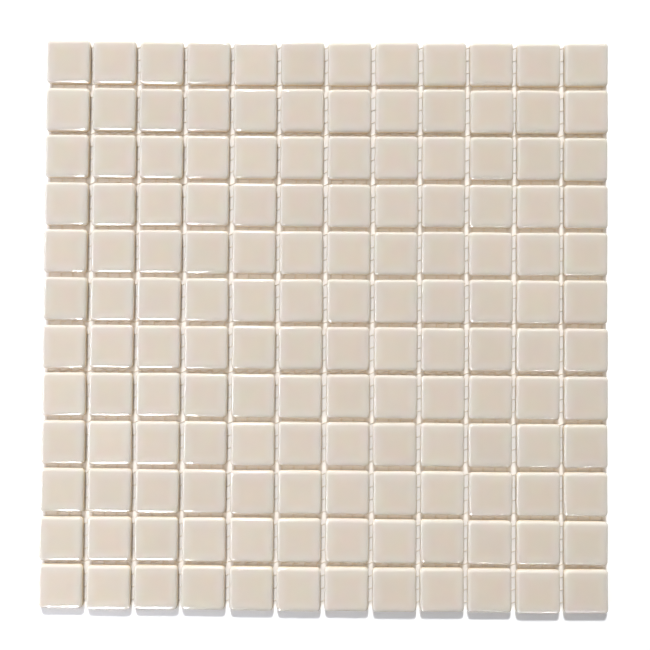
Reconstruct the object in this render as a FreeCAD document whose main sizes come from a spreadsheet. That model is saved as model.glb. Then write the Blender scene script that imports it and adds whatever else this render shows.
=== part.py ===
"""Mosaic tile sheet: square pressed-glass chips laid in a grid on a woven backing net.

The sheet lies flat. The origin is the middle of the sheet at the underside of the net,
+X runs across the columns, +Y runs from the lowest row of chips to the top row and
+Z is up, out of the polished faces. All sizes are millimetres, all angles degrees.
"""
import FreeCAD, Part
import math
import os
import random
import sys

import Sketcher

PARTS_FOLDER = "parts"
LAY_SEED = 23

# Driving sizes of the sheet
DRIVING_SIZES = {
    "chip_side": 23.0,
    "chip_thick": 4.0,
    "corner_cut": 0.9,
    "arris": 0.6,
    "side_draft": 4.0,
    "gap_across": 1.9,
    "gap_down": 2.1,
    "chips_across": 12,
    "chips_down": 12,
    "lay_drift": 0.25,
    "lay_turn": 0.5,
    "yarn_width": 1.0,
    "yarn_thick": 0.25,
    "warps_a_chip": 4,
    "weft_pitch": 6.65,
    "net_inset": 2.2,
    "net_shift": 1.2,
}

# Lengths worked out from the driving sizes, as expressions
PITCH_ACROSS = "(sizes.chip_side + sizes.gap_across)"
PITCH_DOWN = "(sizes.chip_side + sizes.gap_down)"
WARP_PITCH = f"({PITCH_ACROSS} / sizes.warps_a_chip)"
NET_THICK = "(2 * sizes.yarn_thick)"


def make_sizes(doc):
    """Fill a spreadsheet with the driving sizes, one named row each."""
    sheet = doc.addObject("Spreadsheet::Sheet", "sizes")
    for row, (name, value) in enumerate(DRIVING_SIZES.items(), start=1):
        sheet.set(f"A{row}", name)
        sheet.set(f"B{row}", str(value))
        sheet.setAlias(f"B{row}", name)
    doc.recompute()
    return sheet


def origin_plane(body, role):
    """The origin plane of a body that has this role."""
    return next(feature for feature in body.Origin.OriginFeatures if feature.Role == role)


def draw_square(body, side):
    """A centred square on the body's ground plane, its side tied to an expression."""
    sketch = body.newObject("Sketcher::SketchObject", "chip_outline")
    sketch.AttachmentSupport = [(origin_plane(body, "XY_Plane"), "")]
    sketch.MapMode = "FlatFace"
    corners = [FreeCAD.Vector(x, y, 0) for x, y in ((-1, -1), (1, -1), (1, 1), (-1, 1))]
    for start, end in zip(corners, corners[1:] + corners[:1]):
        sketch.addGeometry(Part.LineSegment(start, end), False)
    for line in range(4):
        sketch.addConstraint(Sketcher.Constraint("Coincident", line, 2, (line + 1) % 4, 1))
    for line in (0, 2):
        sketch.addConstraint(Sketcher.Constraint("Horizontal", line))
    for line in (1, 3):
        sketch.addConstraint(Sketcher.Constraint("Vertical", line))
    sketch.addConstraint(Sketcher.Constraint("Symmetric", 0, 1, 1, 2, -1, 1))
    across = sketch.addConstraint(Sketcher.Constraint("DistanceX", 0, 1, 0, 2, 2.0))
    up = sketch.addConstraint(Sketcher.Constraint("DistanceY", 1, 1, 1, 2, 2.0))
    sketch.setExpression(f"Constraints[{across}]", side)
    sketch.setExpression(f"Constraints[{up}]", side)
    return sketch


def edges_where(shape, test):
    """Names of the edges of a shape whose bounding box passes a test."""
    return [f"Edge{number}" for number, edge in enumerate(shape.Edges, start=1)
            if test(edge.BoundBox)]


def make_chip(doc, sheet):
    """One glass chip, its face full size and its sides drawn in towards the base.

    The square is drawn at the face and padded down, so the draft narrows the base.
    """
    body = doc.addObject("PartDesign::Body", "chip")
    sketch = draw_square(body, "sizes.chip_side")
    sketch.setExpression("AttachmentOffset.Base.z", "sizes.chip_thick")
    slab = body.newObject("PartDesign::Pad", "chip_slab")
    slab.Profile = sketch
    slab.Reversed = True
    slab.setExpression("Length", "sizes.chip_thick")
    slab.setExpression("TaperAngle", "-sizes.side_draft")
    doc.recompute()

    corners = body.newObject("PartDesign::Chamfer", "chip_corners")
    corners.Base = (slab, edges_where(slab.Shape, lambda box: box.ZLength > sheet.chip_thick / 2))
    corners.setExpression("Size", "sizes.corner_cut")
    doc.recompute()

    arris = body.newObject("PartDesign::Chamfer", "chip_arris")
    arris.Base = (corners, edges_where(corners.Shape, lambda box: box.ZMin > sheet.chip_thick / 2))
    arris.setExpression("Size", "sizes.arris")
    doc.recompute()
    return body


def place_copy(doc, original, name, places):
    """A linked copy of a piece, with placement properties tied to expressions."""
    copy = doc.addObject("App::Link", name)
    copy.LinkedObject = original
    for path, expression in places.items():
        copy.setExpression(f"Placement.{path}", expression)
    return copy


def gather(doc, label, copies, places):
    """One sub-part made of separate like pieces."""
    group = doc.addObject("Part::Compound", label)
    group.Label = label
    group.Links = copies
    for path, expression in places.items():
        group.setExpression(f"Placement.{path}", expression)
    return group


def middle_offsets(count):
    """Whole or half steps of a row of this many places, counted from its middle."""
    return [place - (count - 1) / 2 for place in range(count)]


def make_chip_row(doc, chip, row, offset, columns, lay):
    """One row of chips across the sheet, each laid a little off its place and turn."""
    copies = []
    for column, step in enumerate(middle_offsets(columns), start=1):
        along, over, turn = (lay.uniform(-1, 1) for _ in range(3))
        copies.append(place_copy(doc, chip, f"chip_{row:02d}_{column:02d}", {
            "Base.x": f"{PITCH_ACROSS} * {step} + sizes.lay_drift * {along:.3f}",
            "Base.y": f"sizes.lay_drift * {over:.3f}",
            "Rotation.Angle": f"sizes.lay_turn * {turn:.3f}",
        }))
    return gather(doc, f"chip_row_{row:02d}", copies, {
        "Base.y": f"{PITCH_DOWN} * {offset}",
        "Base.z": NET_THICK,
    })


def make_yarn(doc, name, length_x, length_y):
    """One flat glass-fibre yarn of the net, its corner at the origin."""
    yarn = doc.addObject("Part::Box", name)
    yarn.setExpression("Length", length_x)
    yarn.setExpression("Width", length_y)
    yarn.setExpression("Height", "sizes.yarn_thick")
    return yarn


def count_wefts(sheet):
    """How many weft yarns fit under the sheet, with one of them in the net's middle."""
    sheet_length = (sheet.chip_side + sheet.gap_down) * sheet.chips_down - sheet.gap_down
    room = sheet_length - 2 * sheet.net_inset - sheet.yarn_width
    return 2 * math.floor(room / 2 / sheet.weft_pitch + 1e-6) + 1


def make_net(doc, sheet):
    """The backing net: warp yarns along Y on the floor and weft yarns along X on them.

    The warp goes with the columns, so many yarns to a chip and none in the joints. The
    weft keeps its own pitch. Each set ends flush with the other's outermost yarns.
    """
    warps = int(sheet.warps_a_chip * sheet.chips_across)
    wefts = count_wefts(sheet)
    net_width = f"({WARP_PITCH} * {warps - 1} + sizes.yarn_width)"
    net_length = f"(sizes.weft_pitch * {wefts - 1} + sizes.yarn_width)"
    warp_yarn = make_yarn(doc, "warp_yarn", "sizes.yarn_width", net_length)
    weft_yarn = make_yarn(doc, "weft_yarn", net_width, "sizes.yarn_width")
    doc.recompute()

    warp = [place_copy(doc, warp_yarn, f"warp_{number:02d}", {
        "Base.x": f"{WARP_PITCH} * {step} - sizes.yarn_width / 2",
        "Base.y": f"sizes.net_shift - {net_length} / 2",
    }) for number, step in enumerate(middle_offsets(warps), start=1)]
    weft = [place_copy(doc, weft_yarn, f"weft_{number:02d}", {
        "Base.x": f"-{net_width} / 2",
        "Base.y": f"sizes.net_shift + sizes.weft_pitch * {step} - sizes.yarn_width / 2",
    }) for number, step in enumerate(middle_offsets(wefts), start=1)]
    return [
        gather(doc, "net_warp", warp, {}),
        gather(doc, "net_weft", weft, {"Base.z": "sizes.yarn_thick"}),
    ]


def check_document(doc, sub_parts):
    """Stop if an object failed or a sub-part has no sound shape."""
    for item in doc.Objects:
        if "Invalid" in item.State or "Error" in item.State:
            sys.exit(f"{item.Label} failed: {item.State}")
    for item in sub_parts:
        if item.Shape.isNull() or not item.Shape.isValid() or not item.Shape.Solids:
            sys.exit(f"{item.Label} has no sound shape")


def main():
    """Build the sheet and write one file for each sub-part."""
    doc = FreeCAD.newDocument("mosaic_tile_sheet")
    sheet = make_sizes(doc)
    chip = make_chip(doc, sheet)
    lay = random.Random(LAY_SEED)
    columns, rows = int(sheet.chips_across), int(sheet.chips_down)
    sub_parts = [
        make_chip_row(doc, chip, row, offset, columns, lay)
        for row, offset in enumerate(reversed(middle_offsets(rows)), start=1)
    ]
    sub_parts += make_net(doc, sheet)
    doc.recompute()
    check_document(doc, sub_parts)

    os.makedirs(PARTS_FOLDER, exist_ok=True)
    for item in sub_parts:
        item.Shape.exportStep(os.path.join(PARTS_FOLDER, f"{item.Label}.step"))
        print(f"{item.Label}: {len(item.Shape.Solids)} pieces, {item.Shape.Volume:.1f} mm3")


main()
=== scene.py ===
"""Dresses the mosaic tile sheet: pressed-glass chips on a woven net, flat on a pale floor.

The construction model gives every place. Each chip is rebuilt where it lies, with its soft
fire-polished edges. Each yarn of the net is rebuilt as a flat strand or as a pair of strands
that twist round each other.
"""
import logging
import math
from dataclasses import dataclass
from enum import Enum

import bmesh
import bpy
from mathutils import Matrix, Vector


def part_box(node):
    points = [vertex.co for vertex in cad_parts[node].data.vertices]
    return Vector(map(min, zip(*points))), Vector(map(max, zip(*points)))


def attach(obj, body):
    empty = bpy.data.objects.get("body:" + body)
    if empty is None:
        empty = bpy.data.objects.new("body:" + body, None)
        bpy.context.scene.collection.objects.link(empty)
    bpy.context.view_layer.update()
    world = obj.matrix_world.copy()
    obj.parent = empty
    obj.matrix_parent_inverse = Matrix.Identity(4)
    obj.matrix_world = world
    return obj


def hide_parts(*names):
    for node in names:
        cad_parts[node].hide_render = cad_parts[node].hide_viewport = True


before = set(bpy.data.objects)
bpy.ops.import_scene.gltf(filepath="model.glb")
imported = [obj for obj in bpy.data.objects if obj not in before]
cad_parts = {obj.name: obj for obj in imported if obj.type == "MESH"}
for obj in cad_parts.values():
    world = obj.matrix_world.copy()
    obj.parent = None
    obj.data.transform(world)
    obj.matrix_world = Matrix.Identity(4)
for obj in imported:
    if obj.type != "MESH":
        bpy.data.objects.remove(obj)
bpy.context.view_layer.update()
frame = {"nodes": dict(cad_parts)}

log = logging.getLogger("tile_sheet")

Point = tuple[float, float, float]

MM = 0.001
BODY = "root"
ROW_NODE = "chip_row"
IMAGE_WIDTH = 650
WHITE = (1.0, 1.0, 1.0, 1.0)

# Corners of the construction model's triangles closer than this are one corner, in metres
WELD_DISTANCE = 1e-6
# Edges that bend more than this are a solid's own edges, in radians
SHARP_ANGLE = 0.1
# Decimals of a metre to which two solids count as level with each other
LEVEL_DIGITS = 5
# A noise texture swings about this value
NOISE_MIDDLE = 0.5
# Phases are counted in whole waves
HALF_WAVE = 0.5


def linear(colour: str) -> tuple[float, float, float, float]:
    """Turn an sRGB hex colour into the linear colour that a socket takes.

    Args:
        colour: Six hex digits after a hash.

    Returns:
        Linear red, green and blue, and an alpha of one.
    """
    shares = [int(colour[start:start + 2], 16) / 255 for start in (1, 3, 5)]
    mixed = [s / 12.92 if s <= 0.04045 else ((s + 0.055) / 1.055) ** 2.4 for s in shares]
    return (*mixed, 1.0)


def add_node(tree: bpy.types.NodeTree, kind: str,
             settings: dict[str, object] | None = None,
             inputs: dict[str | int, object] | None = None) -> bpy.types.Node:
    """Add one node with its settings, its fixed inputs and its links.

    Args:
        tree: The node tree that gets the node.
        kind: The node's type name.
        settings: Properties of the node.
        inputs: For each input's name or number, a value or the socket to link from.

    Returns:
        The new node.
    """
    node = tree.nodes.new(kind)
    for name, value in (settings or {}).items():
        setattr(node, name, value)
    for name, value in (inputs or {}).items():
        if isinstance(value, bpy.types.NodeSocket):
            tree.links.new(value, node.inputs[name])
        else:
            node.inputs[name].default_value = value
    return node


def new_material(name: str) -> bpy.types.Material:
    """Make an empty node material.

    Args:
        name: The material's name.

    Returns:
        A material whose node tree is still empty.
    """
    material = bpy.data.materials.new(name)
    material.use_nodes = True
    material.node_tree.nodes.clear()
    return material


def seen_share(tree: bpy.types.NodeTree) -> bpy.types.NodeSocket:
    """Tell what is seen from what only throws light.

    Args:
        tree: The node tree of a floor or a sky.

    Returns:
        A socket that is one for what the camera sees, also in gloss and through clear matter.
    """
    path = add_node(tree, "ShaderNodeLightPath")
    opaque = add_node(tree, "ShaderNodeMath", {"operation": "MAXIMUM"}, {
        0: path.outputs["Is Camera Ray"], 1: path.outputs["Is Glossy Ray"]})
    seen = add_node(tree, "ShaderNodeMath", {"operation": "MAXIMUM"}, {
        0: opaque.outputs["Value"], 1: path.outputs["Is Transmission Ray"]})
    return seen.outputs["Value"]


class StoredValue(Enum):
    """Names of the values that the meshes carry for their materials and trees."""

    REACH = "reach"
    UPWARD = "upward"
    CHIP_CHANCE = "chip_chance"
    ALONG = "along"
    AROUND = "around"
    PHASE = "phase"
    TURN = "turn"


@dataclass(frozen=True)
class PressedGlass:
    """Milky pressed glass, fire-polished on its face.

    The eye sees a glossy beige body with a faint pearly cloud of pink and straw, and tan sides.
    A paler, cooler rim a few millimetres wide is painted light for the light and reflections that
    the glass gathers near its edges. The rounded edge is painted paler still, a painted highlight
    for the light it catches. The edge and the sides also glow with the light that has entered the
    glass.
    """

    heart: str = "#D7C9B7"
    # Painted light: a paler, cooler rim for the light and reflections the glass gathers near its
    # edges
    rim_painted_light: str = "#DBD2C6"
    # Painted highlight: the rounded edge is painted paler still for the light it catches
    arris_painted_highlight: str = "#DFD7CB"
    side: str = "#E3C697"
    rim_light_reach: float = 7.0 * MM
    arris_highlight_reach: float = 2.4 * MM
    side_start: float = 0.35 * MM
    # How far the painted edge light fades down into the tan side
    edge_light_fade: float = 1.2 * MM
    glow_start: float = 4.0 * MM
    glow_fade: float = 2.8 * MM
    glow_length: float = 6.0 * MM
    glow_tint: tuple[float, float, float] = (1.0, 1.0, 1.0)
    chip_spread: float = 0.035
    cloud_spread: float = 0.11
    cloud_size: float = 11 * MM
    cloud_detail: float = 2.0
    roughness: float = 0.08
    ior: float = 1.5

    def body_colour(self, tree: bpy.types.NodeTree, reach: bpy.types.NodeSocket
                    ) -> bpy.types.NodeSocket:
        """Blend the colours from the side over the edge and the rim to the heart.

        The paler rim and the paler edge are painted light, and the painted edge light runs a little
        way down the top of the tan side.

        Args:
            tree: The material's node tree.
            reach: How far in from the edge a spot of the glass lies, or how far down the
                side, below zero.

        Returns:
            The blended colour.
        """
        # Painted light: towards the edge the face turns to the paler, cooler rim colour
        rim_light_share = add_node(tree, "ShaderNodeMapRange", {"interpolation_type": "SMOOTHSTEP"}, {
            "Value": reach, "From Min": 0.0, "From Max": self.rim_light_reach,
            "To Min": 0.0, "To Max": 1.0})
        face = add_node(tree, "ShaderNodeMix", {"data_type": "RGBA"}, {
            "Factor": rim_light_share.outputs["Result"], "A": linear(self.rim_painted_light), "B": linear(self.heart)})
        # Painted highlight: over the rounded edge the colour turns paler still
        arris_highlight_share = add_node(tree, "ShaderNodeMapRange", {"interpolation_type": "SMOOTHSTEP"}, {
            "Value": reach, "From Min": 0.0, "From Max": self.arris_highlight_reach,
            "To Min": 0.0, "To Max": 1.0})
        highlighted = add_node(tree, "ShaderNodeMix", {"data_type": "RGBA"}, {
            "Factor": arris_highlight_share.outputs["Result"], "A": linear(self.arris_painted_highlight),
            "B": face.outputs["Result"]})
        # The painted edge light fades into the tan side a little below the edge
        height = add_node(tree, "ShaderNodeMapRange", {}, {
            "Value": reach, "From Min": self.side_start - self.edge_light_fade,
            "From Max": self.side_start, "To Min": 0.0, "To Max": 1.0})
        body = add_node(tree, "ShaderNodeMix", {"data_type": "RGBA"}, {
            "Factor": height.outputs["Result"], "A": linear(self.side),
            "B": highlighted.outputs["Result"]})
        return body.outputs["Result"]

    def vary(self, tree: bpy.types.NodeTree, colour: bpy.types.NodeSocket
             ) -> bpy.types.NodeSocket:
        """Tint the colour with a pearly cloud and with a tone of its own for each chip.

        Args:
            tree: The material's node tree.
            colour: The colour to tint.

        Returns:
            The tinted colour.
        """
        place = add_node(tree, "ShaderNodeTexCoord")
        cloud = add_node(tree, "ShaderNodeTexNoise", {}, {
            "Vector": place.outputs["Object"], "Scale": 1 / self.cloud_size,
            "Detail": self.cloud_detail})
        pearl = add_node(tree, "ShaderNodeVectorMath", {"operation": "MULTIPLY_ADD"}, {
            0: cloud.outputs["Color"], 1: (self.cloud_spread,) * 3,
            2: (1 - self.cloud_spread / 2,) * 3})
        chance = add_node(tree, "ShaderNodeAttribute",
                          {"attribute_name": StoredValue.CHIP_CHANCE.value})
        batch = add_node(tree, "ShaderNodeMapRange", {}, {
            "Value": chance.outputs["Fac"], "From Min": 0.0, "From Max": 1.0,
            "To Min": 1.0 - self.chip_spread, "To Max": 1.0 + self.chip_spread})
        tinted = add_node(tree, "ShaderNodeVectorMath", {"operation": "MULTIPLY"},
                          {0: colour, 1: pearl.outputs["Vector"]})
        shade = add_node(tree, "ShaderNodeVectorMath", {"operation": "SCALE"}, {
            0: tinted.outputs["Vector"], "Scale": batch.outputs["Result"]})
        return shade.outputs["Vector"]

    def make(self) -> bpy.types.Material:
        """Build the material.

        Returns:
            A glossy material, tan in the heart of each chip and paler towards its edges.
        """
        material = new_material("pressed_glass")
        tree = material.node_tree
        reach = add_node(tree, "ShaderNodeAttribute", {"attribute_name": StoredValue.REACH.value})
        glow = add_node(tree, "ShaderNodeMapRange", {"interpolation_type": "SMOOTHSTEP"}, {
            "Value": reach.outputs["Fac"], "From Min": self.glow_start - self.glow_fade,
            "From Max": self.glow_start, "To Min": 1.0, "To Max": 0.0})
        colour = self.vary(tree, self.body_colour(tree, reach.outputs["Fac"]))
        shader = add_node(tree, "ShaderNodeBsdfPrincipled", {}, {
            "Base Color": colour, "Roughness": self.roughness, "IOR": self.ior,
            "Subsurface Weight": glow.outputs["Result"], "Subsurface Radius": self.glow_tint,
            "Subsurface Scale": self.glow_length})
        add_node(tree, "ShaderNodeOutputMaterial", {}, {"Surface": shader.outputs["BSDF"]})
        return material


@dataclass(frozen=True)
class GlassFibre:
    """Resin-coated glass-fibre yarn.

    The eye sees a dull straw-white strand with fine streaks along it. A filament is about 0.01 mm
    thick, too fine to show, so the streaks are drawn as bundles of many filaments.
    """

    colour: str = "#EDE9E2"
    groove: str = "#DDD7CC"
    roughness: float = 0.6
    bundle_length: float = 4.0 * MM
    bundles_around: float = 9.0
    bundle_detail: float = 2.0

    def make(self) -> bpy.types.Material:
        """Build the material.

        Returns:
            A dull off-white material with fine streaks along the yarn.
        """
        material = new_material("glass_fibre")
        tree = material.node_tree
        along = add_node(tree, "ShaderNodeAttribute", {"attribute_name": StoredValue.ALONG.value})
        around = add_node(tree, "ShaderNodeAttribute", {"attribute_name": StoredValue.AROUND.value})
        length = add_node(tree, "ShaderNodeMath", {"operation": "DIVIDE"},
                          {0: along.outputs["Fac"], 1: self.bundle_length})
        turn = add_node(tree, "ShaderNodeMath", {"operation": "MULTIPLY"},
                        {0: around.outputs["Fac"], 1: self.bundles_around})
        route = add_node(tree, "ShaderNodeCombineXYZ", {},
                         {"X": length.outputs["Value"], "Y": turn.outputs["Value"]})
        grain = add_node(tree, "ShaderNodeTexNoise", {}, {
            "Vector": route.outputs["Vector"], "Scale": 1.0, "Detail": self.bundle_detail})
        streak = add_node(tree, "ShaderNodeMix", {"data_type": "RGBA"}, {
            "Factor": grain.outputs["Fac"], "A": linear(self.groove), "B": linear(self.colour)})
        shader = add_node(tree, "ShaderNodeBsdfPrincipled", {}, {
            "Base Color": streak.outputs["Result"], "Roughness": self.roughness})
        add_node(tree, "ShaderNodeOutputMaterial", {}, {"Surface": shader.outputs["BSDF"]})
        return material


@dataclass(frozen=True)
class FloorPaint:
    """Plain matt white floor that reads as white paper to the camera.

    Beyond the sheet's outline it is seen brighter than it throws light back, so that open floor
    shows white. Under the sheet, where it only shows through the joints, it is seen plainer.
    Far from the sheet it is seen plain white, so that no far edge shows in a low view.
    """

    colour: str = "#E6E6E6"
    open_gain: float = 1.5
    joint_gain: float = 1.05
    outline: float = 149.0 * MM
    outline_fade: float = 3.0 * MM
    white_start: float = 240.0 * MM
    white_end: float = 450.0 * MM

    def distance(self, tree: bpy.types.NodeTree) -> bpy.types.NodeSocket:
        """Measure how far out a spot of the floor lies, in squares round the middle.

        Args:
            tree: The material's node tree.

        Returns:
            The spot's distance from the middle along the axis on which it is greater.
        """
        place = add_node(tree, "ShaderNodeTexCoord")
        mirrored = add_node(tree, "ShaderNodeVectorMath", {"operation": "ABSOLUTE"},
                            {0: place.outputs["Object"]})
        parts = add_node(tree, "ShaderNodeSeparateXYZ", {},
                         {"Vector": mirrored.outputs["Vector"]})
        apart = add_node(tree, "ShaderNodeMath", {"operation": "MAXIMUM"},
                         {0: parts.outputs["X"], 1: parts.outputs["Y"]})
        return apart.outputs["Value"]

    def make(self) -> bpy.types.Material:
        """Build the material.

        Returns:
            A matt floor, brighter where it is seen than where it only throws light back.
        """
        material = new_material("floor_paint")
        tree = material.node_tree
        apart, seen = self.distance(tree), seen_share(tree)
        gain = add_node(tree, "ShaderNodeMapRange", {}, {
            "Value": apart, "From Min": self.outline - self.outline_fade,
            "From Max": self.outline, "To Min": self.joint_gain, "To Max": self.open_gain})
        plain = linear(self.colour)
        bright = add_node(tree, "ShaderNodeVectorMath", {"operation": "SCALE"},
                          {0: plain[:3], "Scale": gain.outputs["Result"]})
        colour = add_node(tree, "ShaderNodeMix", {"data_type": "RGBA"}, {
            "Factor": seen, "A": plain, "B": bright.outputs["Vector"]})
        near = add_node(tree, "ShaderNodeBsdfDiffuse", {}, {"Color": colour.outputs["Result"]})
        white = add_node(tree, "ShaderNodeEmission", {}, {"Color": WHITE, "Strength": 1.0})
        far = add_node(tree, "ShaderNodeMapRange", {}, {
            "Value": apart, "From Min": self.white_start, "From Max": self.white_end,
            "To Min": 0.0, "To Max": 1.0})
        share = add_node(tree, "ShaderNodeMath", {"operation": "MULTIPLY"},
                         {0: seen, 1: far.outputs["Result"]})
        shader = add_node(tree, "ShaderNodeMixShader", {}, {
            0: share.outputs["Value"], 1: near.outputs["BSDF"], 2: white.outputs["Emission"]})
        add_node(tree, "ShaderNodeOutputMaterial", {}, {"Surface": shader.outputs["Shader"]})
        material.cycles.emission_sampling = "NONE"
        return material


@dataclass(frozen=True)
class Solid:
    """One closed solid of the construction model: its box and its longest sharp edge."""

    low: Vector
    high: Vector
    longest: Vector

    @property
    def middle(self) -> Vector:
        """The middle of the solid's box."""
        return (self.low + self.high) / 2

    @property
    def turn(self) -> float:
        """How far the longest edge is turned from the nearest axis, about the upright."""
        quarter = math.pi / 2
        return (math.atan2(self.longest.y, self.longest.x) + quarter / 2) % quarter - quarter / 2


def joined_corners(first: bmesh.types.BMVert) -> set[bmesh.types.BMVert]:
    """Gather the corners that edges join to a first one.

    Args:
        first: Any corner of a closed solid.

    Returns:
        All corners of that solid.
    """
    joined, fresh = {first}, [first]
    while fresh:
        for edge in fresh.pop().link_edges:
            for corner in edge.verts:
                if corner not in joined:
                    joined.add(corner)
                    fresh.append(corner)
    return joined


def separate_solids(node: bpy.types.Object) -> list[Solid]:
    """Find the separate solids of a construction node.

    Args:
        node: The node's object, made of closed solids that don't touch.

    Returns:
        The solids, from left to right and from bottom to top.
    """
    shell = bmesh.new()
    shell.from_mesh(node.data)
    bmesh.ops.remove_doubles(shell, verts=shell.verts, dist=WELD_DISTANCE)
    shell.edges.index_update()
    waiting = set(shell.verts)
    solids = []
    while waiting:
        joined = joined_corners(waiting.pop())
        waiting -= joined
        edges = {edge for corner in joined for edge in corner.link_edges}
        sharp = [edge for edge in edges
                 if edge.is_manifold and edge.calc_face_angle() > SHARP_ANGLE]
        # Where several edges are equally long, the mesh's order picks one, the same each run
        sharp.sort(key=lambda edge: edge.index)
        longest = max(sharp, key=lambda edge: edge.calc_length())
        solids.append(Solid(
            Vector(min(corner.co[axis] for corner in joined) for axis in range(3)),
            Vector(max(corner.co[axis] for corner in joined) for axis in range(3)),
            longest.verts[1].co - longest.verts[0].co))
    shell.free()
    return sorted(solids, key=lambda solid: (round(solid.low.x, LEVEL_DIGITS),
                                             round(solid.low.y, LEVEL_DIGITS)))


def seat_points(name: str, places: list[Vector], values: dict[StoredValue, list[float]]
                ) -> bpy.types.Object:
    """Make a carrier mesh of loose points, each the seat of one chip or one strand.

    Args:
        name: The carrier's name.
        places: Where the points lie.
        values: For each stored value, its number at each point.

    Returns:
        The carrier, in the scene.
    """
    data = bpy.data.meshes.new(name)
    data.from_pydata([tuple(place) for place in places], [], [])
    for label, numbers in values.items():
        data.attributes.new(label.value, "FLOAT", "POINT").data.foreach_set("value", numbers)
    carrier = bpy.data.objects.new(name, data)
    bpy.context.scene.collection.objects.link(carrier)
    return carrier


def plain_mesh(carrier: bpy.types.Object, name: str) -> bpy.types.Object:
    """Turn what a carrier's modifiers make into a plain mesh object.

    Args:
        carrier: The object with the modifiers.
        name: The new object's name.

    Returns:
        The plain object, in the scene and at the origin. The carrier is removed.
    """
    graph = bpy.context.evaluated_depsgraph_get()
    data = bpy.data.meshes.new_from_object(carrier.evaluated_get(graph))
    data.name = name
    seats = carrier.data
    carrier.modifiers.clear()
    bpy.data.objects.remove(carrier)
    bpy.data.meshes.remove(seats)
    piece = bpy.data.objects.new(name, data)
    bpy.context.scene.collection.objects.link(piece)
    return piece


def new_tree(name: str, inputs: dict[str, str]) -> tuple[bpy.types.NodeTree, bpy.types.Node]:
    """Start a Geometry Nodes tree.

    Args:
        name: The tree's name.
        inputs: The type of each input, by its name.

    Returns:
        The tree and its input node.
    """
    tree = bpy.data.node_groups.new(name, "GeometryNodeTree")
    for label, kind in inputs.items():
        tree.interface.new_socket(label, in_out="INPUT", socket_type=kind)
    tree.interface.new_socket("Geometry", in_out="OUTPUT", socket_type="NodeSocketGeometry")
    return tree, add_node(tree, "NodeGroupInput")


def run_tree(carrier: bpy.types.Object, tree: bpy.types.NodeTree,
             values: dict[str, object]) -> None:
    """Put a Geometry Nodes tree on a carrier, with its inputs set by their identifiers.

    Args:
        carrier: The object that gets the modifier.
        tree: The tree that the modifier runs.
        values: The value of each input, by its name.
    """
    modifier = carrier.modifiers.new(tree.name, "NODES")
    modifier.node_group = tree
    for item in tree.interface.items_tree:
        if item.item_type == "SOCKET" and item.in_out == "INPUT" and item.name in values:
            modifier[item.identifier] = values[item.name]


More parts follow.
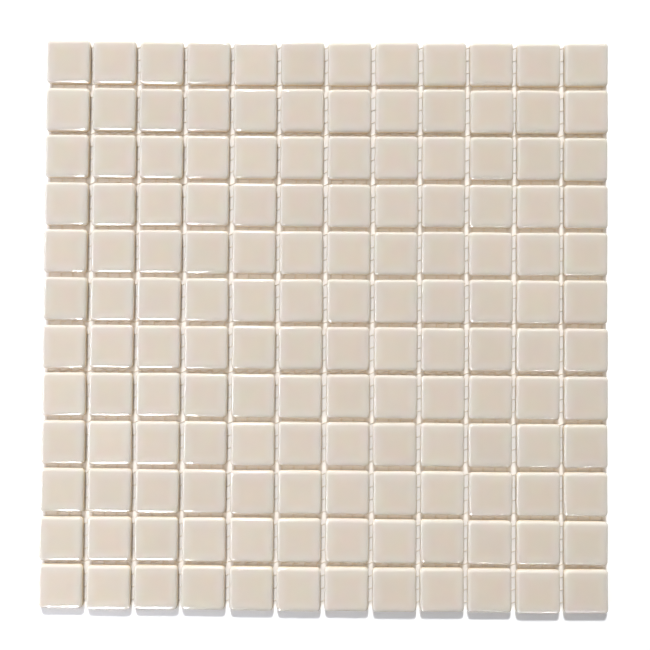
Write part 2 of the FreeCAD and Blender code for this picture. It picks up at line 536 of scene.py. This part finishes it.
@dataclass(frozen=True)
class ChipShape:
    """The form of one pressed-glass chip, resting on its base at the origin.

    Ring by ring inwards the corner radius shrinks by a share of the inset, down to a least
    share of itself, and it never takes up more than a share of half the ring's side.
    """

    side: float = 23 * MM
    thick: float = 4 * MM
    corner_radius: float = 2.0 * MM
    corner_shrink: float = 0.5
    corner_least: float = 0.35
    corner_most: float = 0.9
    arris_in: float = 1.6 * MM
    arris_down: float = 1.7 * MM
    crown: float = 0.14 * MM
    draft: float = math.radians(4)
    base_round: float = 0.3 * MM
    side_steps: int = 6
    corner_steps: int = 4
    arris_steps: int = 6
    crown_steps: tuple[float, ...] = (0.1, 0.25, 0.5, 0.75)

    def outline(self, inset: float, height: float) -> list[Vector]:
        """Points of a rounded square.

        Args:
            inset: How far the square lies inside the chip's widest outline.
            height: Its height above the base.

        Returns:
            The square's points, counterclockwise seen from above.
        """
        half = self.side / 2 - inset
        radius = max(self.corner_radius - inset * self.corner_shrink,
                     self.corner_radius * self.corner_least)
        radius = min(radius, half * self.corner_most)
        points = []
        for corner in range(4):
            start = math.pi / 2 * corner
            across = Vector((math.cos(start), math.sin(start), 0))
            along = Vector((-math.sin(start), math.cos(start), 0))
            for step in range(self.side_steps):
                share = step / self.side_steps * 2 - 1
                points.append(across * half + along * ((half - radius) * share))
            middle = (across + along) * (half - radius)
            for step in range(self.corner_steps):
                angle = step / self.corner_steps * math.pi / 2
                points.append(middle + across * (radius * math.cos(angle))
                              + along * (radius * math.sin(angle)))
        return [point + Vector((0, 0, height)) for point in points]

    def profile(self) -> list[tuple[float, float, float]]:
        """Rings from the base up the side and over the face.

        Returns:
            For each ring its inset, its height, and its reach: how far in from the edge it lies
            on the face, or how far down the side, below zero.
        """
        tuck = self.thick * math.tan(self.draft)
        top = self.thick - self.crown
        shoulder = top - self.arris_down
        rings = [(tuck + self.base_round, 0.0, -shoulder),
                 (tuck, self.base_round, self.base_round - shoulder),
                 (tuck / 2, shoulder / 2, -shoulder / 2)]
        for step in range(self.arris_steps + 1):
            angle = step / self.arris_steps * math.pi / 2
            inset = self.arris_in * (1 - math.cos(angle))
            rings.append((inset, shoulder + self.arris_down * math.sin(angle), inset))
        for share in self.crown_steps:
            inset = self.arris_in + (self.side / 2 - self.arris_in) * share
            rings.append((inset, self.thick - self.crown * (1 - share) ** 2, inset))
        return rings

    def build(self) -> bpy.types.Object:
        """Make the chip.

        Returns:
            An object that holds one chip, for the rows to repeat.
        """
        mesh = bmesh.new()
        reach_of = mesh.verts.layers.float.new(StoredValue.REACH.value)
        upward = mesh.verts.layers.float.new(StoredValue.UPWARD.value)
        rings = []
        for inset, height, reach in self.profile():
            ring = [mesh.verts.new(point) for point in self.outline(inset, height)]
            for corner in ring:
                corner[reach_of] = reach
                corner[upward] = height / self.thick
            rings.append(ring)
        for lower, upper in zip(rings, rings[1:]):
            for place, corner in enumerate(lower):
                after = (place + 1) % len(lower)
                mesh.faces.new((corner, lower[after], upper[after], upper[place]))
        base, face = mesh.verts.new((0, 0, 0)), mesh.verts.new((0, 0, self.thick))
        # The middles of the base and the face lie equally far in from the chip's edges
        base[reach_of] = face[reach_of] = self.side / 2
        base[upward], face[upward] = 0.0, 1.0
        for ring, middle in ((rings[0][::-1], base), (rings[-1], face)):
            for place, corner in enumerate(ring):
                mesh.faces.new((corner, ring[(place + 1) % len(ring)], middle))
        data = bpy.data.meshes.new("glass_chip")
        mesh.to_mesh(data)
        mesh.free()
        data.shade_smooth()
        return bpy.data.objects.new("glass_chip", data)


def chip_row_names(nodes: dict[str, bpy.types.Object]) -> list[str]:
    """Find the construction model's rows of chips.

    Args:
        nodes: The construction model's objects, by name.

    Returns:
        The names of the rows, from the top of the sheet down.
    """
    return sorted(name for name in nodes if name.startswith(ROW_NODE))


@dataclass
class TileRows:
    """The rows of glass chips, each chip rebuilt where the construction model has it."""

    shape: ChipShape
    finish: PressedGlass
    unevenness: float = 0.16 * MM
    wave_length: float = 9 * MM
    wave_detail: float = 1.0
    seed: int = 5

    def lay(self, tree: bpy.types.NodeTree, given: bpy.types.NodeOutputs
            ) -> bpy.types.NodeSocket:
        """Set a turned chip on each point and give it a random tone.

        The tone is the mean of three draws, so that few chips stand out.

        Args:
            tree: The laying tree.
            given: The tree's inputs.

        Returns:
            The laid chips, as real geometry.
        """
        chip = add_node(tree, "GeometryNodeObjectInfo", {}, {"Object": given["Chip"]})
        turn = add_node(tree, "GeometryNodeInputNamedAttribute", {"data_type": "FLOAT"},
                        {"Name": StoredValue.TURN.value})
        upright = add_node(tree, "ShaderNodeCombineXYZ", {}, {"Z": turn.outputs[0]})
        rotation = add_node(tree, "FunctionNodeEulerToRotation", {},
                            {"Euler": upright.outputs["Vector"]})
        laid = add_node(tree, "GeometryNodeInstanceOnPoints", {}, {
            "Points": given["Geometry"], "Instance": chip.outputs["Geometry"],
            "Rotation": rotation.outputs["Rotation"]})
        chance = add_node(tree, "FunctionNodeRandomValue", {"data_type": "FLOAT_VECTOR"},
                          {"Seed": given["Seed"]})
        toned = add_node(tree, "GeometryNodeStoreNamedAttribute",
                         {"data_type": "FLOAT_VECTOR", "domain": "INSTANCE"}, {
                             "Geometry": laid.outputs["Instances"],
                             "Name": StoredValue.CHIP_CHANCE.value,
                             "Value": chance.outputs["Value"]})
        real = add_node(tree, "GeometryNodeRealizeInstances", {},
                        {"Geometry": toned.outputs["Geometry"]})
        return real.outputs["Geometry"]

    def wave(self, tree: bpy.types.NodeTree, given: bpy.types.NodeOutputs
             ) -> bpy.types.NodeSocket:
        """Work out how far each spot is pushed, with no lift at the base of a chip.

        Args:
            tree: The laying tree.
            given: The tree's inputs.

        Returns:
            The push of each corner of the mesh.
        """
        place = add_node(tree, "GeometryNodeInputPosition")
        size = add_node(tree, "ShaderNodeMath", {"operation": "DIVIDE"},
                        {0: 1.0, 1: given["Wave length"]})
        waves = add_node(tree, "ShaderNodeTexNoise", {}, {
            "Vector": place.outputs["Position"], "Scale": size.outputs["Value"],
            "Detail": self.wave_detail})
        centred = add_node(tree, "ShaderNodeVectorMath", {"operation": "SUBTRACT"},
                           {0: waves.outputs["Color"], 1: (NOISE_MIDDLE,) * 3})
        upward = add_node(tree, "GeometryNodeInputNamedAttribute", {"data_type": "FLOAT"},
                          {"Name": StoredValue.UPWARD.value})
        free = add_node(tree, "ShaderNodeCombineXYZ", {},
                        {"X": 1.0, "Y": 1.0, "Z": upward.outputs[0]})
        freed = add_node(tree, "ShaderNodeVectorMath", {"operation": "MULTIPLY"},
                         {0: centred.outputs["Vector"], 1: free.outputs["Vector"]})
        push = add_node(tree, "ShaderNodeVectorMath", {"operation": "SCALE"}, {
            0: freed.outputs["Vector"], "Scale": given["Unevenness"]})
        return push.outputs["Vector"]

    def laying_tree(self) -> bpy.types.NodeTree:
        """Make the tree that turns the points of a row into its chips.

        Returns:
            A tree that lays the chips, varies their tone and bends them a little.
        """
        tree, source = new_tree("lay_chips", {
            "Geometry": "NodeSocketGeometry", "Chip": "NodeSocketObject",
            "Unevenness": "NodeSocketFloat", "Wave length": "NodeSocketFloat",
            "Seed": "NodeSocketInt", "Finish": "NodeSocketMaterial"})
        given = source.outputs
        bent = add_node(tree, "GeometryNodeSetPosition", {}, {
            "Geometry": self.lay(tree, given), "Offset": self.wave(tree, given)})
        dressed = add_node(tree, "GeometryNodeSetMaterial", {}, {
            "Geometry": bent.outputs["Geometry"], "Material": given["Finish"]})
        add_node(tree, "NodeGroupOutput", {}, {"Geometry": dressed.outputs["Geometry"]})
        return tree

    def build(self, nodes: dict[str, bpy.types.Object]) -> list[bpy.types.Object]:
        """Build and dress every row.

        Args:
            nodes: The construction model's objects, by name.

        Returns:
            One plain mesh object for each row.
        """
        tree = self.laying_tree()
        chip = self.shape.build()
        finish = self.finish.make()
        rows = []
        for number, name in enumerate(chip_row_names(nodes)):
            solids = separate_solids(nodes[name])
            seats = [Vector((solid.middle.x, solid.middle.y, solid.low.z)) for solid in solids]
            carrier = seat_points(f"{name}_seats", seats,
                                  {StoredValue.TURN: [solid.turn for solid in solids]})
            run_tree(carrier, tree, {
                "Chip": chip, "Unevenness": self.unevenness, "Wave length": self.wave_length,
                "Seed": self.seed + number, "Finish": finish})
            row = plain_mesh(carrier, name.replace(ROW_NODE, "glass_row"))
            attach(row, BODY)
            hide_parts(name)
            rows.append(row)
        bpy.data.objects.remove(chip)
        return rows


class Heading(Enum):
    """The axis that a set of yarns follows."""

    ACROSS = 0
    UP = 1


@dataclass(frozen=True)
class Strand:
    """How the strands of one yarn set run: their section and how they sway and lift."""

    width: float
    thick: float
    sway: float
    lift: float
    wave: float
    steps_a_wave: int


@dataclass(frozen=True)
class YarnSet:
    """One of the two yarn sets of the net: where its strands start and how they run."""

    name: str
    node: str
    heading: Heading
    length: float
    seats: list[Vector]
    phases: list[float]
    strand: Strand


@dataclass
class BackingNet:
    """The woven backing net: flat weft yarns, each held by pairs of warp strands that twist."""

    finish: GlassFibre
    weft_width: float = 0.6 * MM
    weft_thick: float = 0.12 * MM
    weft_sway: float = 0.6 * MM
    weft_sag: float = 0.16 * MM
    weft_steps: int = 6
    warp_width: float = 0.3 * MM
    warp_thick: float = 0.12 * MM
    warp_sway: float = 0.3 * MM
    warp_steps: int = 10
    stray: float = 0.5 * MM
    stray_length: float = 30 * MM
    stray_detail: float = 2.0
    section_points: int = 4

    def start(self, tree: bpy.types.NodeTree, given: bpy.types.NodeOutputs
              ) -> bpy.types.NodeSocket:
        """Set a straight stepped line on each point.

        Args:
            tree: The strand tree.
            given: The tree's inputs.

        Returns:
            The lines, as real curves.
        """
        line = add_node(tree, "GeometryNodeCurvePrimitiveLine", {}, {"End": given["Run"]})
        stepped = add_node(tree, "GeometryNodeResampleCurve", {"mode": "COUNT"},
                           {"Curve": line.outputs["Curve"], "Count": given["Steps"]})
        laid = add_node(tree, "GeometryNodeInstanceOnPoints", {},
                        {"Points": given["Geometry"], "Instance": stepped.outputs["Curve"]})
        real = add_node(tree, "GeometryNodeRealizeInstances", {},
                        {"Geometry": laid.outputs["Instances"]})
        return real.outputs["Geometry"]

    def push(self, tree: bpy.types.NodeTree, given: bpy.types.NodeOutputs,
             travelled: bpy.types.NodeSocket) -> bpy.types.NodeSocket:
        """Work out how the strands sway sideways, lift and stray.

        Args:
            tree: The strand tree.
            given: The tree's inputs.
            travelled: The length of a strand up to each of its points.

        Returns:
            The push of each point of the strands.
        """
        phase = add_node(tree, "GeometryNodeInputNamedAttribute", {"data_type": "FLOAT"},
                         {"Name": StoredValue.PHASE.value})
        waves = add_node(tree, "ShaderNodeMath", {"operation": "DIVIDE"},
                         {0: travelled, 1: given["Wave"]})
        turns = add_node(tree, "ShaderNodeMath", {"operation": "ADD"},
                         {0: waves.outputs["Value"], 1: phase.outputs[0]})
        angle = add_node(tree, "ShaderNodeMath", {"operation": "MULTIPLY"},
                         {0: turns.outputs["Value"], 1: math.tau})
        sine = add_node(tree, "ShaderNodeMath", {"operation": "SINE"}, {0: angle.outputs["Value"]})
        cosine = add_node(tree, "ShaderNodeMath", {"operation": "COSINE"},
                          {0: angle.outputs["Value"]})
        swayed = add_node(tree, "ShaderNodeMath", {"operation": "MULTIPLY"},
                          {0: sine.outputs["Value"], 1: given["Sway"]})
        lifted = add_node(tree, "ShaderNodeMath", {"operation": "MULTIPLY"},
                          {0: cosine.outputs["Value"], 1: given["Lift"]})

        place = add_node(tree, "GeometryNodeInputPosition")
        size = add_node(tree, "ShaderNodeMath", {"operation": "DIVIDE"},
                        {0: 1.0, 1: given["Stray length"]})
        wander = add_node(tree, "ShaderNodeTexNoise", {}, {
            "Vector": place.outputs["Position"], "Scale": size.outputs["Value"],
            "Detail": self.stray_detail})
        centred = add_node(tree, "ShaderNodeMath", {"operation": "SUBTRACT"},
                           {0: wander.outputs["Fac"], 1: NOISE_MIDDLE})
        aside = add_node(tree, "ShaderNodeMath", {"operation": "MULTIPLY_ADD"}, {
            0: centred.outputs["Value"], 1: given["Stray"], 2: swayed.outputs["Value"]})
        across = add_node(tree, "ShaderNodeVectorMath", {"operation": "SCALE"},
                          {0: given["Sideways"], "Scale": aside.outputs["Value"]})
        upright = add_node(tree, "ShaderNodeCombineXYZ", {}, {"Z": lifted.outputs["Value"]})
        push = add_node(tree, "ShaderNodeVectorMath", {"operation": "ADD"},
                        {0: across.outputs["Vector"], 1: upright.outputs["Vector"]})
        return push.outputs["Vector"]

    def section(self, tree: bpy.types.NodeTree, given: bpy.types.NodeOutputs,
                turned: bpy.types.NodeSocket) -> bpy.types.NodeSocket:
        """Make the flat section of a strand from a ring one unit wide.

        Args:
            tree: The strand tree.
            given: The tree's inputs.
            turned: The share of a ring's length up to each of its points.

        Returns:
            The section, which carries its way round for the finish.
        """
        ring = add_node(tree, "GeometryNodeCurvePrimitiveCircle", {"mode": "RADIUS"},
                        {"Resolution": given["Section points"], "Radius": 0.5})
        around = add_node(tree, "GeometryNodeStoreNamedAttribute",
                          {"data_type": "FLOAT", "domain": "POINT"}, {
                              "Geometry": ring.outputs["Curve"],
                              "Name": StoredValue.AROUND.value, "Value": turned})
        oval = add_node(tree, "ShaderNodeCombineXYZ", {},
                        {"X": given["Width"], "Y": given["Thickness"], "Z": 1.0})
        section = add_node(tree, "GeometryNodeTransform", {}, {
            "Geometry": around.outputs["Geometry"], "Scale": oval.outputs["Vector"]})
        return section.outputs["Geometry"]

    def strand_tree(self) -> bpy.types.NodeTree:
        """Make the tree that runs a strand from each point.

        Returns:
            A tree that sways, lifts and strays the strands and gives them their section.
        """
        tree, source = new_tree("run_strands", {
            "Geometry": "NodeSocketGeometry", "Run": "NodeSocketVector",
            "Sideways": "NodeSocketVector", "Steps": "NodeSocketInt",
            "Width": "NodeSocketFloat", "Thickness": "NodeSocketFloat",
            "Sway": "NodeSocketFloat", "Lift": "NodeSocketFloat", "Wave": "NodeSocketFloat",
            "Stray": "NodeSocketFloat", "Stray length": "NodeSocketFloat",
            "Section points": "NodeSocketInt", "Finish": "NodeSocketMaterial"})
        given = source.outputs
        spline = add_node(tree, "GeometryNodeSplineParameter")
        bent = add_node(tree, "GeometryNodeSetPosition", {}, {
            "Geometry": self.start(tree, given),
            "Offset": self.push(tree, given, spline.outputs["Length"])})
        marked = add_node(tree, "GeometryNodeStoreNamedAttribute",
                          {"data_type": "FLOAT", "domain": "POINT"}, {
                              "Geometry": bent.outputs["Geometry"],
                              "Name": StoredValue.ALONG.value, "Value": spline.outputs["Length"]})
        level = add_node(tree, "GeometryNodeSetCurveNormal", {"mode": "Z_UP"},
                         {"Curve": marked.outputs["Geometry"]})
        strand = add_node(tree, "GeometryNodeCurveToMesh", {}, {
            "Curve": level.outputs["Curve"],
            "Profile Curve": self.section(tree, given, spline.outputs["Factor"]),
            "Fill Caps": True})
        dressed = add_node(tree, "GeometryNodeSetMaterial", {}, {
            "Geometry": strand.outputs["Mesh"], "Material": given["Finish"]})
        add_node(tree, "NodeGroupOutput", {}, {"Geometry": dressed.outputs["Geometry"]})
        return tree

    def plan_weft(self, wefts: list[Solid], warps: list[Solid]) -> YarnSet:
        """Plan one flat strand for each weft yarn, swaying and sagging between the warps.

        Args:
            wefts: The weft yarns, from the lowest up.
            warps: The warp yarns, from left to right.

        Returns:
            The weft.
        """
        net_top = wefts[0].high.z
        warp_pitch = warps[1].middle.x - warps[0].middle.x
        phase = (wefts[0].low.x - warps[0].middle.x) / warp_pitch + HALF_WAVE
        return YarnSet(
            "weft_yarns", "net_weft", Heading.ACROSS, wefts[0].high.x - wefts[0].low.x,
            [Vector((yarn.low.x, yarn.middle.y, net_top / 2)) for yarn in wefts],
            [phase] * len(wefts),
            Strand(self.weft_width, self.weft_thick, self.weft_sway, -self.weft_sag,
                   warp_pitch, self.weft_steps))

    def plan_warp(self, wefts: list[Solid], warps: list[Solid]) -> YarnSet:
        """Plan two strands for each warp yarn, which twist and cross between the wefts.

        Args:
            wefts: The weft yarns, from the lowest up.
            warps: The warp yarns, from left to right.

        Returns:
            The warp.
        """
        net_top = wefts[0].high.z
        twist = 2 * (wefts[1].middle.y - wefts[0].middle.y)
        seats, phases = [], []
        for yarn in warps:
            for shift in (0.0, HALF_WAVE):
                seats.append(Vector((yarn.middle.x, yarn.low.y, net_top / 2)))
                phases.append((yarn.low.y - wefts[0].middle.y) / twist + shift)
        return YarnSet(
            "warp_yarns", "net_warp", Heading.UP, warps[0].high.y - warps[0].low.y,
            seats, phases,
            Strand(self.warp_width, self.warp_thick, self.warp_sway,
                   (net_top - self.warp_thick) / 2, twist, self.warp_steps))

    def build(self, nodes: dict[str, bpy.types.Object]) -> list[bpy.types.Object]:
        """Build and dress the net.

        Args:
            nodes: The construction model's objects, by name.

        Returns:
            The weft and the warp, each one plain mesh.
        """
        tree = self.strand_tree()
        finish = self.finish.make()
        wefts = sorted(separate_solids(nodes["net_weft"]), key=lambda yarn: yarn.low.y)
        warps = separate_solids(nodes["net_warp"])
        pieces = []
        for yarns in (self.plan_weft(wefts, warps), self.plan_warp(wefts, warps)):
            strand, axis = yarns.strand, yarns.heading.value
            run, sideways = [0.0] * 3, [0.0] * 3
            run[axis], sideways[1 - axis] = yarns.length, 1.0
            carrier = seat_points(f"{yarns.name}_seats", yarns.seats,
                                  {StoredValue.PHASE: yarns.phases})
            run_tree(carrier, tree, {
                "Run": run, "Sideways": sideways,
                "Steps": round(yarns.length / strand.wave * strand.steps_a_wave) + 1,
                "Width": strand.width, "Thickness": strand.thick, "Sway": strand.sway,
                "Lift": strand.lift, "Wave": strand.wave, "Stray": self.stray,
                "Stray length": self.stray_length, "Section points": self.section_points,
                "Finish": finish})
            piece = plain_mesh(carrier, yarns.name)
            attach(piece, BODY)
            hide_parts(yarns.node)
            pieces.append(piece)
        return pieces


class LampUse(Enum):
    """What a lamp is for."""

    ALL = "it lights the sheet and shows in the gloss"
    LIGHT = "it lights the sheet and shows in no gloss"
    GLINTS = "it only shows in the gloss"


@dataclass(frozen=True)
class Lamp:
    """A rectangular lamp: its middle, its size, its power in watts and the point it faces."""

    name: str
    place: Point
    size: tuple[float, float]
    power: float
    use: LampUse
    aim: Point = (0.0, 0.0, 0.0)
    colour: str = "#FFFFFF"

    def hang(self) -> bpy.types.Object:
        """Hang the lamp, unseen by the camera.

        Returns:
            The lamp, in the scene.
        """
        data = bpy.data.lights.new(self.name, "AREA")
        data.shape = "RECTANGLE"
        data.size, data.size_y = self.size
        data.energy = self.power
        data.color = linear(self.colour)[:3]
        lamp = bpy.data.objects.new(self.name, data)
        lamp.location = self.place
        facing = Vector(self.aim) - Vector(self.place)
        lamp.rotation_euler = facing.to_track_quat("-Z", "Y").to_euler()
        lamp.visible_camera = False
        lamp.visible_diffuse = self.use is not LampUse.GLINTS
        lamp.visible_glossy = self.use is not LampUse.LIGHT
        bpy.context.scene.collection.objects.link(lamp)
        return lamp


# Places, sizes and aims in metres from the sheet's middle, powers in watts
STUDIO_LAMPS = (
    Lamp("key", (-0.42, 4.76, 3.6), (0.77, 0.77), 396.0, LampUse.LIGHT),
    Lamp("overhead", (0.0, 0.0, 2.5), (4.2, 2.3), 15.0, LampUse.LIGHT),
    Lamp("left_fill", (-0.6, 0.0, 0.35), (0.5, 0.4), 1.45, LampUse.ALL, colour="#E0E6FF"),
    Lamp("front_left_fill", (-0.34, -0.48, 0.2), (0.3, 0.16), 0.75, LampUse.LIGHT,
         aim=(-0.12, -0.12, 0.0)),
    Lamp("tall_window", (-0.17, 0.95, 0.75), (0.13, 0.6), 10.0, LampUse.GLINTS),
    Lamp("front_left", (-0.86, -2.2, 1.85), (0.52, 1.8), 240.0, LampUse.GLINTS,
         aim=(-0.86, 0.0, 0.0)),
    Lamp("front_right", (0.27, -0.55, 0.4), (0.2, 0.05), 2.4, LampUse.GLINTS),
    Lamp("left", (-0.8, -0.1, 0.35), (0.5, 0.12), 4.0, LampUse.GLINTS),
)


@dataclass(frozen=True)
class JointGlow:
    """The light that has gone through the milky glass and comes out low in the joints.

    A thin warm lamp in each joint across the sheet stands for it, because the shading of the
    glass doesn't carry it to the net and the floor.
    """

    height: float = 2.6 * MM
    width: float = 1.0 * MM
    power: float = 0.0009
    colour: str = "#FFDFAA"

    def lamps(self, rows: list[str]) -> list[Lamp]:
        """Plan the lamps.

        Args:
            rows: Names of the construction model's chip rows, from the top of the sheet down.

        Returns:
            One lamp that faces down for each joint between two rows.
        """
        boxes = [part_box(row) for row in rows]
        planned = []
        for number, (upper, lower) in enumerate(zip(boxes, boxes[1:]), start=1):
            x, y = (upper[0].x + upper[1].x) / 2, (upper[0].y + lower[1].y) / 2
            planned.append(Lamp(
                f"joint_glow_{number:02d}", (x, y, self.height),
                (upper[1].x - upper[0].x, self.width), self.power, LampUse.LIGHT,
                aim=(x, y, 0.0), colour=self.colour))
        return planned


@dataclass
class Studio:
    """The floor, the sky and the camera, none of them part of the sheet."""

    camera_place: Vector
    camera_aim: Vector
    camera_roll: float = math.radians(0.43)
    focal_pixels: float = 750.0
    sensor: float = 36.0
    floor_size: float = 1.5
    sky_level: float = 0.03

    def lay_floor(self, finish: FloorPaint) -> bpy.types.Object:
        """Lay the floor under the sheet.

        Args:
            finish: The floor's paint.

        Returns:
            The floor, in the scene.
        """
        data = bpy.data.meshes.new("floor")
        half = self.floor_size / 2
        data.from_pydata([(-half, -half, 0), (half, -half, 0), (half, half, 0), (-half, half, 0)],
                         [], [(0, 1, 2, 3)])
        data.materials.append(finish.make())
        floor = bpy.data.objects.new("floor", data)
        bpy.context.scene.collection.objects.link(floor)
        return floor

    def set_sky(self) -> bpy.types.World:
        """Light the sheet faintly from all round, with a sky that is seen plain white.

        Returns:
            The sky, in the scene.
        """
        sky = bpy.data.worlds.new("sky")
        sky.use_nodes = True
        tree = sky.node_tree
        tree.nodes.clear()
        level = add_node(tree, "ShaderNodeMapRange", {}, {
            "Value": seen_share(tree), "From Min": 0.0, "From Max": 1.0,
            "To Min": self.sky_level, "To Max": 1.0})
        shader = add_node(tree, "ShaderNodeBackground", {},
                          {"Color": WHITE, "Strength": level.outputs["Result"]})
        add_node(tree, "ShaderNodeOutputWorld", {}, {"Surface": shader.outputs["Background"]})
        bpy.context.scene.world = sky
        return sky

    def set_camera(self) -> bpy.types.Object:
        """Place the camera over the sheet, where the photograph was taken from.

        Returns:
            The camera, in the scene.
        """
        data = bpy.data.cameras.new("camera")
        data.sensor_width = self.sensor
        data.lens = self.focal_pixels * self.sensor / IMAGE_WIDTH
        camera = bpy.data.objects.new("camera", data)
        back = (self.camera_place - self.camera_aim).normalized()
        right = Vector((0, 1, 0)).cross(back).normalized()
        look = Matrix((right, back.cross(right), back)).transposed().to_4x4()
        camera.matrix_world = (Matrix.Translation(self.camera_place) @ look
                               @ Matrix.Rotation(self.camera_roll, 4, "Z"))
        bpy.context.scene.collection.objects.link(camera)
        bpy.context.scene.camera = camera
        return camera


def main() -> None:
    """Build the sheet and its studio, and report each piece."""
    logging.basicConfig(level=logging.INFO, format="%(message)s")
    nodes = frame["nodes"]
    for piece in (*TileRows(ChipShape(), PressedGlass()).build(nodes),
                  *BackingNet(GlassFibre()).build(nodes)):
        log.info("%s: %d faces", piece.name, len(piece.data.polygons))

    bpy.context.scene.view_settings.view_transform = "Standard"
    studio = Studio(camera_place=Vector((0.0032, -0.0084, 0.397)),
                    camera_aim=Vector((0.0003, -0.0003, 0.0045)))
    studio.lay_floor(FloorPaint())
    for lamp in (*STUDIO_LAMPS, *JointGlow().lamps(chip_row_names(nodes))):
        lamp.hang()
    studio.set_sky()
    studio.set_camera()


if __name__ == "__main__":
    main()
